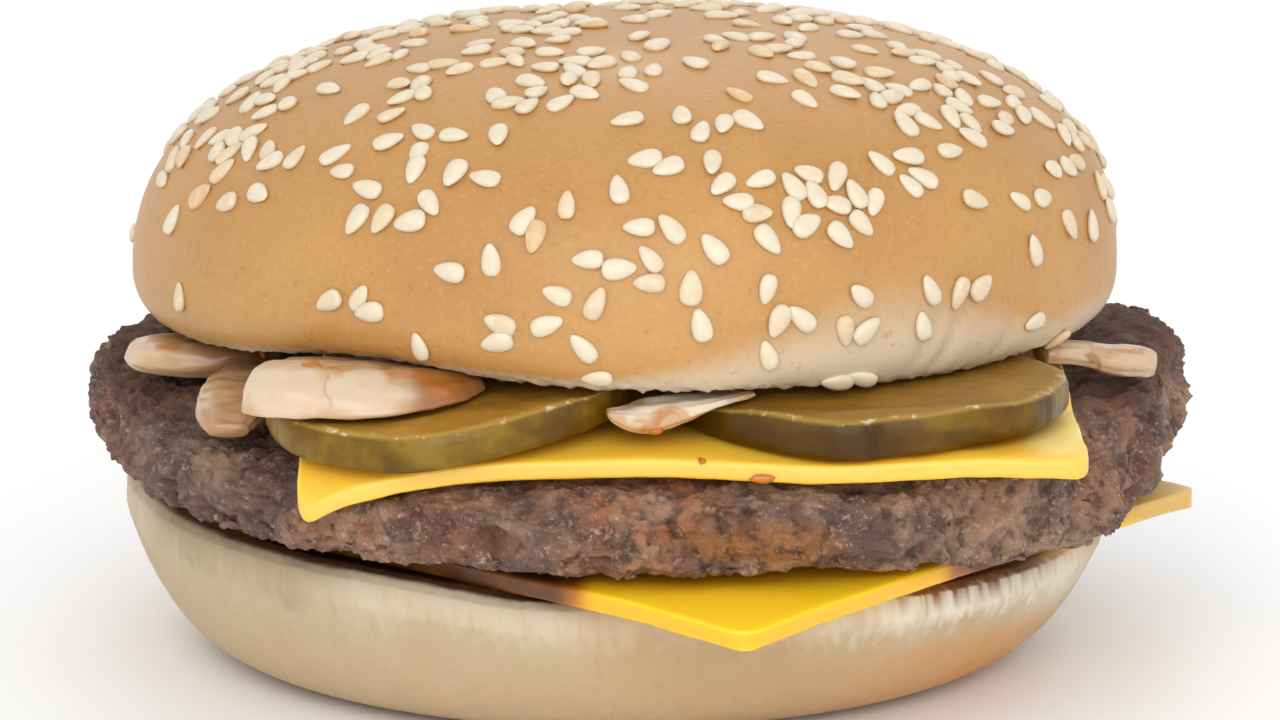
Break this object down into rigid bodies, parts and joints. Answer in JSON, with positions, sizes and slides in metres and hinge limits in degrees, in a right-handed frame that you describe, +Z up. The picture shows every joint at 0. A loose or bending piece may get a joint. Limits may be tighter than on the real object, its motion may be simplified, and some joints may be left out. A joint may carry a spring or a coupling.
{
  "type": "cheeseburger",
  "caption": "Cheeseburger with a seeded domed bun, a browned patty, slices of cheese, pickle slices and pieces of onion, standing on its flat underside.",
  "frame": {"origin": "middle of the flat underside of the heel, the bun's lower half", "axes": "+Z up through the layers; -Y towards the front, where the fillings show most; +X to the right seen from the front"},
  "size_m": [0.1148, 0.1227, 0.0659],
  "materials": {
    "bun": "smooth baked crust, golden tan, soft sheen, pale seeds",
    "bun_base": "pale cream crust, finely wrinkled, matt",
    "patty": "browned ground meat, craggy, moist glints",
    "cheese": "smooth golden yellow, softly glossy",
    "pickle": "olive brown, wet and glossy",
    "onion": "cream, slightly translucent, with an orange film of sauce"
  },
  "bodies": {
    "root": {"crown": "bun", "heel": "bun_base", "patty": "patty", "cheese_upper": "cheese", "cheese_lower": "cheese", "pickle_left": "pickle", "pickle_right": "pickle", "onion_large": "onion", "onion_middle": "onion", "onion_side_left": "onion", "onion_far_left": "onion", "onion_right": "onion"}
  },
  "joints": []
}
